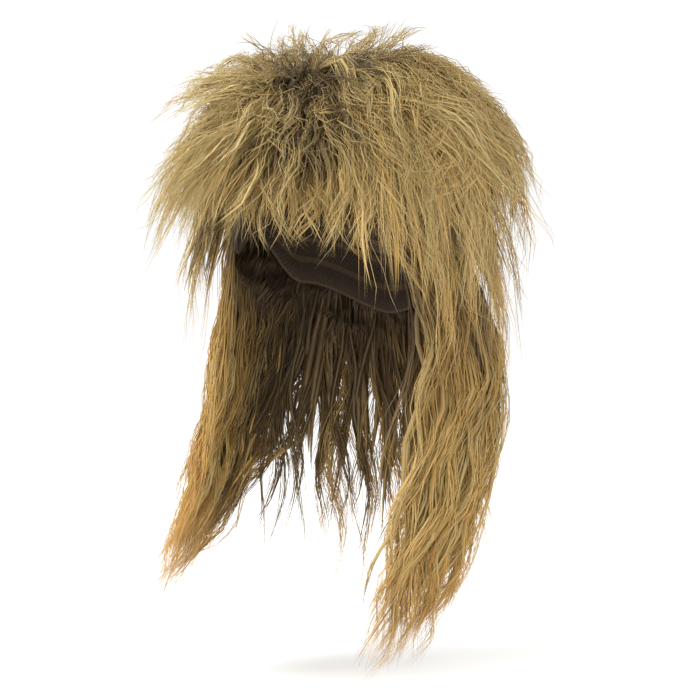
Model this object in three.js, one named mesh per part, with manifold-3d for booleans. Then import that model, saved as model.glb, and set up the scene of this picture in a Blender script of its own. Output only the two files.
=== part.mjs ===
// A long layered wig with a teased crown: a soft cap that fits over the head, and the hair sewn to it
// in sections, each one a curtain of locks fused to the base that it is sewn along.
// Millimetres, +Z up. The face looks along -Y and the wearer's left is +X. The origin is the inside of
// the cap at the crown, where the wig rests on the head.

import * as THREE from "three";
import { mergeVertices } from "three/addons/utils/BufferGeometryUtils.js";
import Module from "manifold-3d";

const wasm = await Module();
wasm.setup();

// Driving dimensions
const HEAD = { halfWidth: 76, halfDepth: 98, crownHeight: 100, napeDrop: 150 };
const CAP = { wall: 2, columns: 30, rows: 7 };
const SEAM_GAP = 0.3; // between the cap and the hair sewn to it
const SAME_POINT = 1e-4; // vertices nearer than this are one
const FACET_SAG = 0.9; // how far flat facets dip inside the head's curve
const BAND = { thick: 5, halfPolar: 5, columnTurn: 12 };
const LOCK = { sides: 4, rings: 5, waves: 1.25, rootShare: 0.6, fullAt: 0.45 };
const HAIR_LIFT = CAP.wall + SEAM_GAP;
const FORWARD_TURN = 15; // the hair parts and falls forward a little to the left of the forehead's middle
const ASIDE_TURN = -61; // and stands out furthest over the right temple

// The teased cushion under the crown's locks: it lies this far below their flow at the stops along it,
// rises to its top over the crown, and is undercut to its foot on the head
const MOUND = {
  columns: 24,
  stops: [0.3, 0.42, 0.55, 0.68],
  below: 9,
  top: 34,
  ahead: 24,
  underOut: 84,
  underZ: 8,
  footPolar: 30,
};

// The cap's rim: how far below the crown it runs, by the turn away from the middle of the forehead
const RIM = [
  { at: "forehead", turn: 0, depth: 46 },
  { at: "temple tab", turn: 62, depth: 106 },
  { at: "over the ear", turn: 88, depth: 90 },
  { at: "behind the ear", turn: 122, depth: 130 },
  { at: "nape", turn: 180, depth: 156 },
];

// The hair's sections. A section runs between a first and a last edge, and each edge is a cubic curve
// from its root on the cap past a bend and a sweep to its tip. Every pair below is [first, last] edge.
// turn is the angle from the forehead towards the wearer's left, polar the angle from the crown down the
// head, out the distance from the head's upright axis. lap is a lock's width as a share of its room in
// the section, thick and wave its depth and its sway, and ragged how much the tips differ in length.
// Where the hair falls forward it lies nearer by the share front.pull and lower by front.drop. ahead moves
// a stop towards the face, where the crown's whorl is. Where the tips stand out to the wearer's right,
// tuck draws a stop in by a share and lift raises it.
const SECTIONS = [
  {
    name: "crown", base: "none", locks: 5, lap: 0.8, thick: 18, wave: 3, ragged: 0.3,
    front: { pull: 0.1, drop: 22 },
    root: { turn: [-180, 180], polar: [12, 12], ahead: 38 },
    bend: { turn: [-170, 190], out: [14, 14], z: [36, 36], ahead: 34 },
    sweep: { turn: [-160, 200], out: [36, 36], z: [66, 66], ahead: 28 },
    tip: { turn: [-150, 210], out: [90, 90], z: [58, 58], ahead: 16 },
  },
  {
    name: "crown", base: "mound", locks: 14, lap: 1.42, thick: 19, wave: 4, ragged: 0.2,
    front: { pull: 0.32, drop: 22 },
    root: { turn: [-180, 180], polar: [20, 20], ahead: 38 },
    bend: { turn: [-180, 180], out: [48, 48], z: [74, 74], ahead: 32 },
    sweep: { turn: [-180, 180], out: [146, 146], z: [60, 60], ahead: 10, tuck: 0.2 },
    tip: { turn: [-180, 180], out: [172, 172], z: [-60, -60], lift: 44 },
  },
  {
    name: "crown", base: "none", locks: 10, lap: 1.45, thick: 22, wave: 4, ragged: 0.2,
    front: { pull: 0.24, drop: 0 },
    root: { turn: [46, 306], polar: [34, 34] },
    bend: { turn: [46, 306], out: [96, 92], z: [26, 26] },
    sweep: { turn: [46, 304], out: [148, 148], z: [4, 2], tuck: 0.1 },
    tip: { turn: [48, 304], out: [160, 156], z: [-100, -118], lift: 26 },
  },
  {
    name: "fringe", base: "band", locks: 8, lap: 1.5, thick: 12, wave: 3, ragged: 0.3,
    root: { turn: [-48, 42], polar: [42, 42] },
    bend: { turn: [-47, 42], out: [80, 78], z: [-14, -16] },
    sweep: { turn: [-45, 43], out: [102, 98], z: [-54, -56] },
    tip: { turn: [-48, 45], out: [109, 103], z: [-106, -112] },
  },
  {
    name: "side_layer_left", base: "band", locks: 7, lap: 1.5, thick: 16, wave: 4, ragged: 0.3,
    root: { turn: [53, 130], polar: [62, 62] },
    bend: { turn: [51, 130], out: [92, 98], z: [-36, -26] },
    sweep: { turn: [50, 129], out: [110, 148], z: [-80, -60] },
    tip: { turn: [54, 126], out: [120, 154], z: [-186, -215] },
  },
  {
    name: "side_layer_right", base: "band", locks: 7, lap: 1.5, thick: 16, wave: 4, ragged: 0.3,
    root: { turn: [-58, -130], polar: [62, 62] },
    bend: { turn: [-56, -130], out: [96, 98], z: [-28, -26] },
    sweep: { turn: [-53, -129], out: [114, 146], z: [-66, -60] },
    tip: { turn: [-54, -127], out: [132, 152], z: [-140, -212] },
  },
  {
    name: "back_layer", base: "band", locks: 8, lap: 1.5, thick: 18, wave: 4, ragged: 0.3,
    root: { turn: [137, 223], polar: [64, 64] },
    bend: { turn: [137, 223], out: [110, 110], z: [-26, -26] },
    sweep: { turn: [138, 222], out: [154, 154], z: [-60, -60] },
    tip: { turn: [137, 223], out: [152, 152], z: [-218, -218] },
  },
  {
    name: "lengths_left", base: "band", locks: 7, lap: 1.55, thick: 14, wave: 5, ragged: 0.16,
    root: { turn: [62, 146], polar: [86, 104] },
    bend: { turn: [76, 136], out: [94, 190], z: [-170, -156] },
    sweep: { turn: [68, 116], out: [98, 146], z: [-290, -310] },
    tip: { turn: [35, 66], out: [112, 122], z: [-436, -405] },
  },
  {
    name: "lengths_right", base: "band", locks: 7, lap: 1.55, thick: 14, wave: 5, ragged: 0.16,
    root: { turn: [-62, -146], polar: [86, 104] },
    bend: { turn: [-70, -138], out: [96, 160], z: [-170, -180] },
    sweep: { turn: [-66, -132], out: [98, 142], z: [-270, -300] },
    tip: { turn: [-50, -70], out: [154, 146], z: [-378, -378] },
  },
  {
    name: "lengths_back", base: "band", locks: 8, lap: 1.55, thick: 14, wave: 5, ragged: 0.16,
    root: { turn: [150, 210], polar: [108, 108] },
    bend: { turn: [149, 211], out: [126, 126], z: [-190, -190] },
    sweep: { turn: [147, 213], out: [128, 128], z: [-300, -300] },
    tip: { turn: [148, 212], out: [122, 122], z: [-410, -410] },
  },
];

const CAP_LOOK = { color: 0x3a2c20, roughness: 0.9, metalness: 0 };
const HAIR_LOOK = { color: 0xab8f5e, roughness: 0.55, metalness: 0 };

const radians = THREE.MathUtils.degToRad;
const lerp = THREE.MathUtils.lerp;

// An even scatter from 0 to 1 over the locks, the same every time
const SCATTER = { step: 0.6180339887, lengths: 0.83, sways: 0.26 };
function scatter(index, start) {
  return (index * SCATTER.step + start) % 1;
}

// A point of the head's surface, raised by lift along the surface's normal
function headPoint(turn, polar, lift) {
  const height = polar < 90 ? HEAD.crownHeight : HEAD.napeDrop;
  const ring = Math.sin(radians(polar));
  const point = new THREE.Vector3(
    HEAD.halfWidth * ring * Math.sin(radians(turn)),
    -HEAD.halfDepth * ring * Math.cos(radians(turn)),
    height * Math.cos(radians(polar)),
  );
  const normal = new THREE.Vector3(
    point.x / HEAD.halfWidth ** 2,
    point.y / HEAD.halfDepth ** 2,
    point.z / height ** 2,
  ).normalize();
  point.addScaledVector(normal, lift);
  point.z -= HEAD.crownHeight;
  return point;
}

// The polar angle at which the head's surface lies this far below the crown
function polarAt(depth) {
  const rise = HEAD.crownHeight - depth;
  const height = rise > 0 ? HEAD.crownHeight : HEAD.napeDrop;
  return THREE.MathUtils.radToDeg(Math.acos(rise / height));
}

// The rim's depth at a turn, eased from one row of the table to the next
function rimDepth(turn) {
  const away = Math.abs(THREE.MathUtils.euclideanModulo(turn + 180, 360) - 180);
  const next = RIM.findIndex((row, i) => i > 0 && away <= row.turn);
  const from = RIM[next - 1];
  const to = RIM[next];
  return lerp(from.depth, to.depth, THREE.MathUtils.smoothstep(away, from.turn, to.turn));
}

// Moves every vertex of a closed three.js geometry, and makes it a solid that can be joined and cut
function solidFrom(geometry, move) {
  const place = geometry.getAttribute("position");
  const point = new THREE.Vector3();
  for (let i = 0; i < place.count; i++) {
    point.fromBufferAttribute(place, i);
    place.setXYZ(i, ...move(point, i).toArray());
  }
  geometry.deleteAttribute("normal");
  geometry.deleteAttribute("uv");
  const merged = mergeVertices(geometry, SAME_POINT);
  return new wasm.Manifold(
    new wasm.Mesh({
      numProp: 3,
      vertProperties: merged.getAttribute("position").array,
      triVerts: new Uint32Array(merged.index.array),
    }),
  );
}

// The cap: a turned bowl whose inner and outer faces are laid on the head's shape down to the rim
function capSolid() {
  const rows = Array.from({ length: CAP.rows + 1 }, (_, i) => i / CAP.rows);
  const profile = [
    ...rows.map((down) => ({ down, lift: 0 })),
    ...rows.toReversed().map((down) => ({ down, lift: CAP.wall })),
  ];
  const bowl = new THREE.LatheGeometry(
    profile.map(({ down, lift }) => new THREE.Vector2(down, lift)),
    CAP.columns,
  );
  return solidFrom(bowl, (_, i) => {
    const { down, lift } = profile[i % profile.length];
    const turn = (360 / CAP.columns) * (Math.floor(i / profile.length) % CAP.columns);
    return headPoint(turn, down * polarAt(rimDepth(turn)), lift);
  });
}

// The room that the head and the cap take up, which no hair enters
function headRoom() {
  const ball = new THREE.SphereGeometry(1, CAP.columns, 2 * CAP.rows);
  return solidFrom(ball, (point) => {
    const polar = THREE.MathUtils.radToDeg(Math.acos(THREE.MathUtils.clamp(point.y, -1, 1)));
    const turn = THREE.MathUtils.radToDeg(Math.atan2(point.x, point.z));
    return headPoint(turn, polar, HAIR_LIFT + FACET_SAG);
  });
}

// A point about the head's upright axis
function around(turn, out, z) {
  return new THREE.Vector3(out * Math.sin(radians(turn)), -out * Math.cos(radians(turn)), z);
}

// A stop of a section's course, for one turn
function course(section, turn, out, z, { ahead = 0, tuck = 0, lift = 0 }) {
  const { pull = 0, drop = 0 } = section.front ?? {};
  const forward = Math.max(0, Math.cos(radians(turn - FORWARD_TURN)));
  const aside = Math.max(0, Math.cos(radians(turn - ASIDE_TURN)));
  const shrink = (1 - pull * forward) * (1 - tuck * aside);
  const point = around(turn, out * shrink, z - drop * forward + lift * aside);
  point.y -= ahead;
  return point;
}

// The curve that hair follows at a share of the way from the section's first edge to its last
function flow(section, share) {
  const between = (pair) => lerp(pair[0], pair[1], share);
  const stop = (row) => course(section, between(row.turn), between(row.out), between(row.z), row);
  const root = headPoint(between(section.root.turn), between(section.root.polar), HAIR_LIFT);
  root.y -= section.root.ahead ?? 0;
  return new THREE.CubicBezierCurve3(root, stop(section.bend), stop(section.sweep), stop(section.tip));
}

// How full a lock is along its length, drawn in to a point at its tip
function fullness(along) {
  return Math.sqrt(1 - along ** 3);
}

// One lock: a cone laid along the section's flow, flattened, waved and drawn out to a tip
function lockSolid(section, index) {
  const share = (index + 0.5) / section.locks;
  const middle = flow(section, share);
  const sides = [index, index + 1].map((edge) => flow(section, edge / section.locks));
  const reach = 1 - section.ragged * scatter(index, SCATTER.lengths * section.locks);
  const phase = 2 * Math.PI * scatter(index, SCATTER.sways);
  const cone = new THREE.ConeGeometry(1, 1, LOCK.sides, LOCK.rings);
  return solidFrom(cone, (point) => {
    const along = point.y + 0.5;
    const t = along * reach;
    const tangent = middle.getTangent(t);
    const across = sides[1].getPoint(t).sub(sides[0].getPoint(t));
    across.addScaledVector(tangent, -across.dot(tangent));
    const room = across.length();
    across.normalize();
    const outward = new THREE.Vector3().crossVectors(across, tangent);
    const full = along < 1 ? fullness(along) / (1 - along) : 0;
    const depth = lerp(LOCK.rootShare, 1, THREE.MathUtils.smoothstep(along, 0, LOCK.fullAt)) * section.thick;
    const sway = section.wave * along * Math.sin(2 * Math.PI * LOCK.waves * along + phase);
    return middle
      .getPoint(t)
      .addScaledVector(across, (point.x * full * section.lap * room) / 2 + sway)
      .addScaledVector(outward, (point.z * full * depth) / 2);
  });
}

// The sewn band at a section's roots: a flat box bent onto the cap
function bandSolid(section) {
  const [first, last] = section.root.turn;
  const columns = Math.ceil(Math.abs(last - first) / BAND.columnTurn);
  const strip = new THREE.BoxGeometry(1, 1, 1, columns, 1, 1);
  const handed = last > first ? 1 : -1;
  return solidFrom(strip, (point) => {
    const share = handed * point.x + 0.5;
    const polar = lerp(...section.root.polar, share) - 2 * BAND.halfPolar * point.y;
    return headPoint(lerp(first, last, share), polar, HAIR_LIFT + BAND.thick * (point.z + 0.5));
  });
}

// The cushion's outline at one turn, from the crown of the head out under it and back over its top
function moundOutline(section, share) {
  const turn = lerp(...section.root.turn, share);
  const lowered = MOUND.stops.map((stop) => flow(section, share).getPoint(stop));
  lowered.forEach((point) => point.setZ(point.z - MOUND.below));
  return [
    headPoint(turn, 0, 0),
    headPoint(turn, MOUND.footPolar, 0),
    course(section, turn, MOUND.underOut, MOUND.underZ, {}),
    ...lowered.toReversed(),
    around(0, MOUND.ahead, MOUND.top),
  ];
}

// The cushion that a ring of locks is teased up from, turned about the head's axis
function moundSolid(section) {
  const outlines = Array.from({ length: MOUND.columns }, (_, i) => moundOutline(section, i / MOUND.columns));
  const rows = outlines[0].length;
  const profile = outlines[0].map((_, row) => new THREE.Vector2(row % (rows - 1), row));
  const mound = new THREE.LatheGeometry(profile, MOUND.columns);
  return solidFrom(mound, (_, i) => outlines[Math.floor(i / rows) % MOUND.columns][i % rows]);
}

// All the locks of the rows that share a name, fused to their base and cut clear of the head. Only the
// main body is kept, without loose scraps or pockets sealed in between the locks.
function hairSolid(name) {
  const bases = { mound: moundSolid, band: bandSolid };
  const pieces = SECTIONS.filter((section) => section.name === name).flatMap((section) => [
    ...(section.base in bases ? [bases[section.base](section)] : []),
    ...Array.from({ length: section.locks }, (_, index) => lockSolid(section, index)),
  ]);
  const cut = pieces.reduce((body, piece) => body.add(piece)).subtract(headRoom());
  return cut.decompose().reduce((main, scrap) => (main.volume() > scrap.volume() ? main : scrap));
}

// A solid as a named three.js mesh
function meshOf(name, solid, look) {
  const { vertProperties, triVerts } = solid.getMesh();
  const geometry = new THREE.BufferGeometry();
  geometry.setAttribute("position", new THREE.BufferAttribute(vertProperties, 3));
  geometry.setIndex(new THREE.BufferAttribute(triVerts, 1));
  geometry.computeVertexNormals();
  const mesh = new THREE.Mesh(geometry, new THREE.MeshStandardMaterial(look));
  mesh.name = name;
  return mesh;
}

const wig = new THREE.Group();
wig.name = "wig";
wig.add(meshOf("wig_cap", capSolid(), CAP_LOOK));
for (const name of new Set(SECTIONS.map((section) => section.name))) {
  wig.add(meshOf(name, hairSolid(name), HAIR_LOOK));
}

export default wig;
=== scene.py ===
import math

import bpy
import numpy as np
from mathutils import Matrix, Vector


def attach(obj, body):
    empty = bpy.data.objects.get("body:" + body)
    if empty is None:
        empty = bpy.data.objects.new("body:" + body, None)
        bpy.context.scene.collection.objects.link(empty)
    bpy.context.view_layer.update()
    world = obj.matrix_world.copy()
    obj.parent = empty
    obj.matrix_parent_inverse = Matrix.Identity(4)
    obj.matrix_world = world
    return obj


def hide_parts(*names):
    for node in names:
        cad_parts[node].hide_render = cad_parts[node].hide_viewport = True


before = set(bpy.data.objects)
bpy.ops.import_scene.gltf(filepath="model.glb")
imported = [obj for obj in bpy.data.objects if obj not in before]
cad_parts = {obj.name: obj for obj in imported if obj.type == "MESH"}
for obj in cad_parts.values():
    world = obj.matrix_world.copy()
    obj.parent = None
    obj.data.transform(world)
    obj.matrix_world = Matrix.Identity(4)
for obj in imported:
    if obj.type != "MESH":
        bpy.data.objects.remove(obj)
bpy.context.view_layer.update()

# A long layered wig with a teased crown, dressed strand by strand. Sizes are in millimetres in the wig's
# own frame, as in the part's source, and are turned to metres where a mesh is made.
MM = 0.001
FIBRE_MAP = "OFBake"
MAP_EDGE = 0.01  # the margin that tones and round pieces keep from the map's edge

# The head that the cap fits, the cap's wall, how far off the head the hair starts, and the facets of what
# goes round the head
HALF_WIDTH = 76
HALF_DEPTH = 98
CROWN_HEIGHT = 100
NAPE_DROP = 150
CAP_WALL = 2
HAIR_LIFT = 2.3
ROUND_COLUMNS = 96
CAP_ROWS = 22

# Turns from the middle of the forehead towards the wearer's left: where the hair falls forward, where it
# stands out over the right temple, and where the dark roots run furthest, with how narrowly they do
FORWARD_TURN = 15
ASIDE_TURN = -61
ROOT_TURN = 19
ROOT_NARROW = 10

# The room that the loose hair keeps to, as its lowest and highest x, y and z, and how softly it is kept there
ROOM = ((-173, -131, -440), (162, 168, 84))
ROOM_EASE = 14

# The cap's rim: turns away from the middle of the forehead, and how far below the crown it runs at them
RIM_TURNS = (0, 62, 88, 122, 180)
RIM_DEPTHS = (46, 106, 90, 130, 156)


def stop(turn, out, z=(0, 0), tuck=0, lift=0):
    """A stop of a section's course: its turn, its distance out or a root's polar angle, and its height.

    Each of these is (first, last) edge. Where the tips stand out over the wearer's right, tuck draws the
    stop in by a share and lift raises it.
    """
    return dict(turn=turn, out=out, z=z, tuck=tuck, lift=lift)


def section(locks, root, bend, sweep, tip, pull=0.0):
    """A sewn section's locks and course. pull draws it in where the hair falls forward."""
    return dict(locks=locks, root=root, bend=bend, sweep=sweep, tip=tip, pull=pull)


# The fan is the crown's loose hair: its bends, sweeps and tips are in a table of their own below
SECTIONS = {
    "fan": section(20, stop((-180, 180), (0, 0)), None, None, stop((-180, 180), (0, 0))),
    "low_ring": section(
        10, stop((46, 306), (34, 34)),
        stop((46, 306), (96, 92), (26, 26)),
        stop((46, 304), (148, 148), (4, 2), tuck=0.1),
        stop((48, 304), (160, 156), (-100, -118), lift=26),
        pull=0.24,
    ),
    "fringe": section(
        8, stop((-48, 42), (42, 42)),
        stop((-47, 42), (80, 78), (-14, -16)),
        stop((-45, 43), (102, 98), (-54, -56)),
        stop((-48, 45), (109, 103), (-106, -112)),
    ),
    "side_layer_left": section(
        7, stop((53, 130), (62, 62)),
        stop((51, 130), (92, 98), (-36, -26)),
        stop((50, 129), (110, 148), (-80, -60)),
        stop((54, 126), (120, 154), (-186, -215)),
    ),
    "side_layer_right": section(
        7, stop((-58, -130), (62, 62)),
        stop((-56, -130), (96, 98), (-28, -26)),
        stop((-53, -129), (114, 146), (-66, -60)),
        stop((-54, -127), (132, 152), (-140, -212)),
    ),
    "back_layer": section(
        8, stop((137, 223), (64, 64)),
        stop((137, 223), (110, 110), (-26, -26)),
        stop((138, 222), (154, 154), (-60, -60)),
        stop((137, 223), (152, 152), (-218, -218)),
    ),
    "lengths_left": section(
        5, stop((62, 146), (86, 104)),
        stop((76, 136), (94, 190), (-170, -156)),
        stop((68, 116), (98, 151), (-290, -310)),
        stop((35, 66), (112, 122), (-436, -405)),
    ),
    "lengths_right": section(
        7, stop((-62, -146), (86, 104)),
        stop((-70, -138), (108, 160), (-170, -180)),
        stop((-66, -132), (98, 142), (-270, -300)),
        stop((-50, -70), (154, 146), (-378, -378)),
    ),
    "lengths_back": section(
        8, stop((150, 210), (108, 108)),
        stop((149, 211), (126, 126), (-190, -190)),
        stop((147, 213), (128, 128), (-300, -300)),
        stop((148, 212), (122, 122), (-410, -410)),
    ),
}

# The loose hair of the crown runs from its whorl over all that lies below. For each turn: the bend over the
# crown, then the sweep and the tip of the top hair, which is short, and of the low hair, as (out, z)
WHORL = (0, -46, 20)
FAN_COLUMNS = {"turn": 0, "bend": 1, "top sweep": 2, "top tip": 3, "low sweep": 4, "low tip": 5}
FAN = (
    (-150, (62, 86), (105, 60), (150, 0), (172, 16), (144, -192)),
    (-105, (58, 80), (98, 58), (136, 22), (140, 4), (160, -146)),
    (-61, (50, 62), (86, 56), (136, 14), (124, -10), (155, -98)),
    (-25, (56, 54), (88, 42), (128, 4), (106, -14), (144, -94)),
    (15, (62, 44), (86, 16), (98, -36), (96, -4), (104, -86)),
    (45, (80, 66), (102, 28), (116, -28), (122, -4), (122, -128)),
    (80, (80, 74), (112, 42), (142, -30), (146, 4), (126, -162)),
    (119, (62, 75), (104, 46), (168, -46), (184, 6), (138, -170)),
    (165, (64, 88), (110, 58), (154, -10), (174, 18), (132, -192)),
)

# How far down a course a wisp may end, how far along it a section's breadth is taken, and in how many steps
LONGEST = 1.1
HALFWAY = 0.55
BREADTH_STEPS = 60

# How many locks have a wave of their own, and how far the wisps of one lock differ in it, in turns
LOCK_TIDES = 32
TIDE_SLIP = 0.14

# How a wisp changes along its run, as the start and end of a smooth step: where it gathers, where it is
# combed aside, and where it comes out of the course. Then how late it is drawn to its lock, how its
# section's waist is rounded, and how much of its depth closes up as it gathers
GATHER_RUN = (0.1, 0.95)
COMB_RUN = (0.15, 1)
GROW_RUN = (0, 0.4)
LOCK_LATE = 1.6
WAIST_ROUND = 1.2
DEPTH_CLOSES = 0.9
DEPTH_WAVE = 0.6  # its wave out of the course, as a share of its wave across it

# What differs from wisp to wisp, as ranges, and the most that one strays, as a share of its drift or bow
WISP_WAVES = (0.9, 1.1)
WISP_TONE = (0.84, 1.0)
STRAY_MOST = 1.6

# What differs among a wisp's tresses and strands, as ranges: the place across it and in its depth are shares
# of its breadth, and the others are shares of its own value
TRESS_PLACE = (-0.3, 0.3)
STRAND_PLACE = (-0.5, 0.5)
DEPTH_PLACE = (-0.15, 0.15)
TRESS_REACH = (0.84, 0.98)
START_SLIP = (0.85, 1.15)
STRAND_FRIZZ = (0.4, 1.6)
DARK_SLIP = (0.8, 1.25)
GIRTH = (0.7, 1.3)

# A tress: its frizz, how deep it lies under the strands, its tone, its breadth at the ends and the swell
# between them, its thickness as a share of its breadth, its sides, and its breadth in shades. A strand has
# the last two as well
TRESS_FRIZZ = 0.4
TRESS_UNDER = 1.5
TRESS_TONE = 0.86
TRESS_ENDS = 0.55
TRESS_SWELL = 0.6
TRESS_FLAT = 0.3
TRESS_SIDES = 4
TRESS_SHADES = 0.06
STRAND_SIDES = 3
STRAND_SHADES = 0.005

# Frizz: its waves laid over each other, as (pitch, share), and the pitch and size of its sway each way
SWAY_WAVES = ((1, 1.0), (1.9, 0.6), (3.1, 0.4))
DEPTH_SWAY = (1.3, 0.6)
SIDE_SWAY = (1.4, 0.7)

# Shades: how much of its shade a strand has from its wisp, how many strands have an odd one, and the range
# of the map that shades lie in, which leaves room for a tress's breadth
WISP_SHADE = 0.6
ODD_SHARE = 0.1
SHADE_RANGE = (0.005, 0.935)

# Tones: the tone at the end of a dark root, the shortest run from there to the tip's tone, and the run that
# counts for a whole course where a wisp starts part of the way down it
ROOT_TONE = 0.25
TONE_RUN = 130
FAN_RUN = 190

# Dark roots of the crown's layers, at the back, at the sides and where the hair falls forward
DARK_TEASED = (26, 52, 150)
DARK_TEMPLE = (10, 26, 60)
DARK_UNDER = (30, 40, 70)


def layer(course, wisps, tresses, strands, stops, **more):
    """One layer of wisps on a section's course: each is so many flat tresses and single strands.

    wide and tight: a wisp's breadth at its root and tip; depth: how far out of the course it lies;
    reach: how much of the course it runs; roots: polar shift of its start, or its distance from the whorl;
    drift: how far it crosses; comb: how far it is combed back from the parting; bow: how far it bends aside
    on its way; wave and waves: its sway, and how often; frizz: its strands' own sway; flick: how far its tip
    lifts; fibre: a strand's radius; core: half a tress's breadth; shade: range of its colours; dark: how long
    its dark root is at the back, at the sides and where it falls forward; light: how far up the tones it
    goes, which below 1 darkens the layer as painted shade; span: range of shares across the section; gather:
    how far a wisp is drawn to its lock; start: where on the course it comes out; level: range between the
    fan's low hair and its top hair; pale: how much nearer to ash it is, and how much shorter its dark root,
    over the wearer's right where the key lamp falls, partly the hair's ash colour and partly painted light;
    ragged: how unlike in length its strands are; buried: how deep under the course it starts; waist: how far
    the section is drawn in halfway down; steady: how much less it drifts and bows where it falls forward.
    """
    plain = dict(
        wide=15, tight=2.5, depth=(-8, 6), reach=(0.7, 1.02), roots=(-6, 6), drift=10, comb=0, bow=0,
        wave=4, waves=1.25, frizz=2, flick=(0, 8), fibre=0.4, core=2.0, shade=(0.1, 0.9), dark=(20, 24, 40),
        light=1.0, span=(0, 1), gather=0.3, start=(0, 0), level=(0, 1), pale=0, ragged=(0.8, 1.03),
        buried=0, waist=0, steady=0,
    )
    return dict(plain, course=course, wisps=wisps, tresses=tresses, strands=strands, stops=stops, **more)


def fill(course, wisps, stops, **more):
    """A layer of broad tresses under the loose ones, toned darker as painted shade."""
    plain = dict(wide=26, tight=8, depth=(-9, -3), reach=(0.6, 0.9), core=2.8, light=0.6, frizz=1.4)
    return layer(course, wisps, 3, 0, stops, **dict(plain, **more))


def shade_lining(course, wisps, stops, **more):
    """A layer of loose strands on the inside of a section, toned dark as painted shade."""
    plain = dict(
        depth=(-14, -8), reach=(0.7, 0.95), light=0.4, wave=7, waves=2.4, wide=20, drift=16, core=1.6,
    )
    return layer(course, wisps, 1, 8, stops, **dict(plain, **more))
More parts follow.
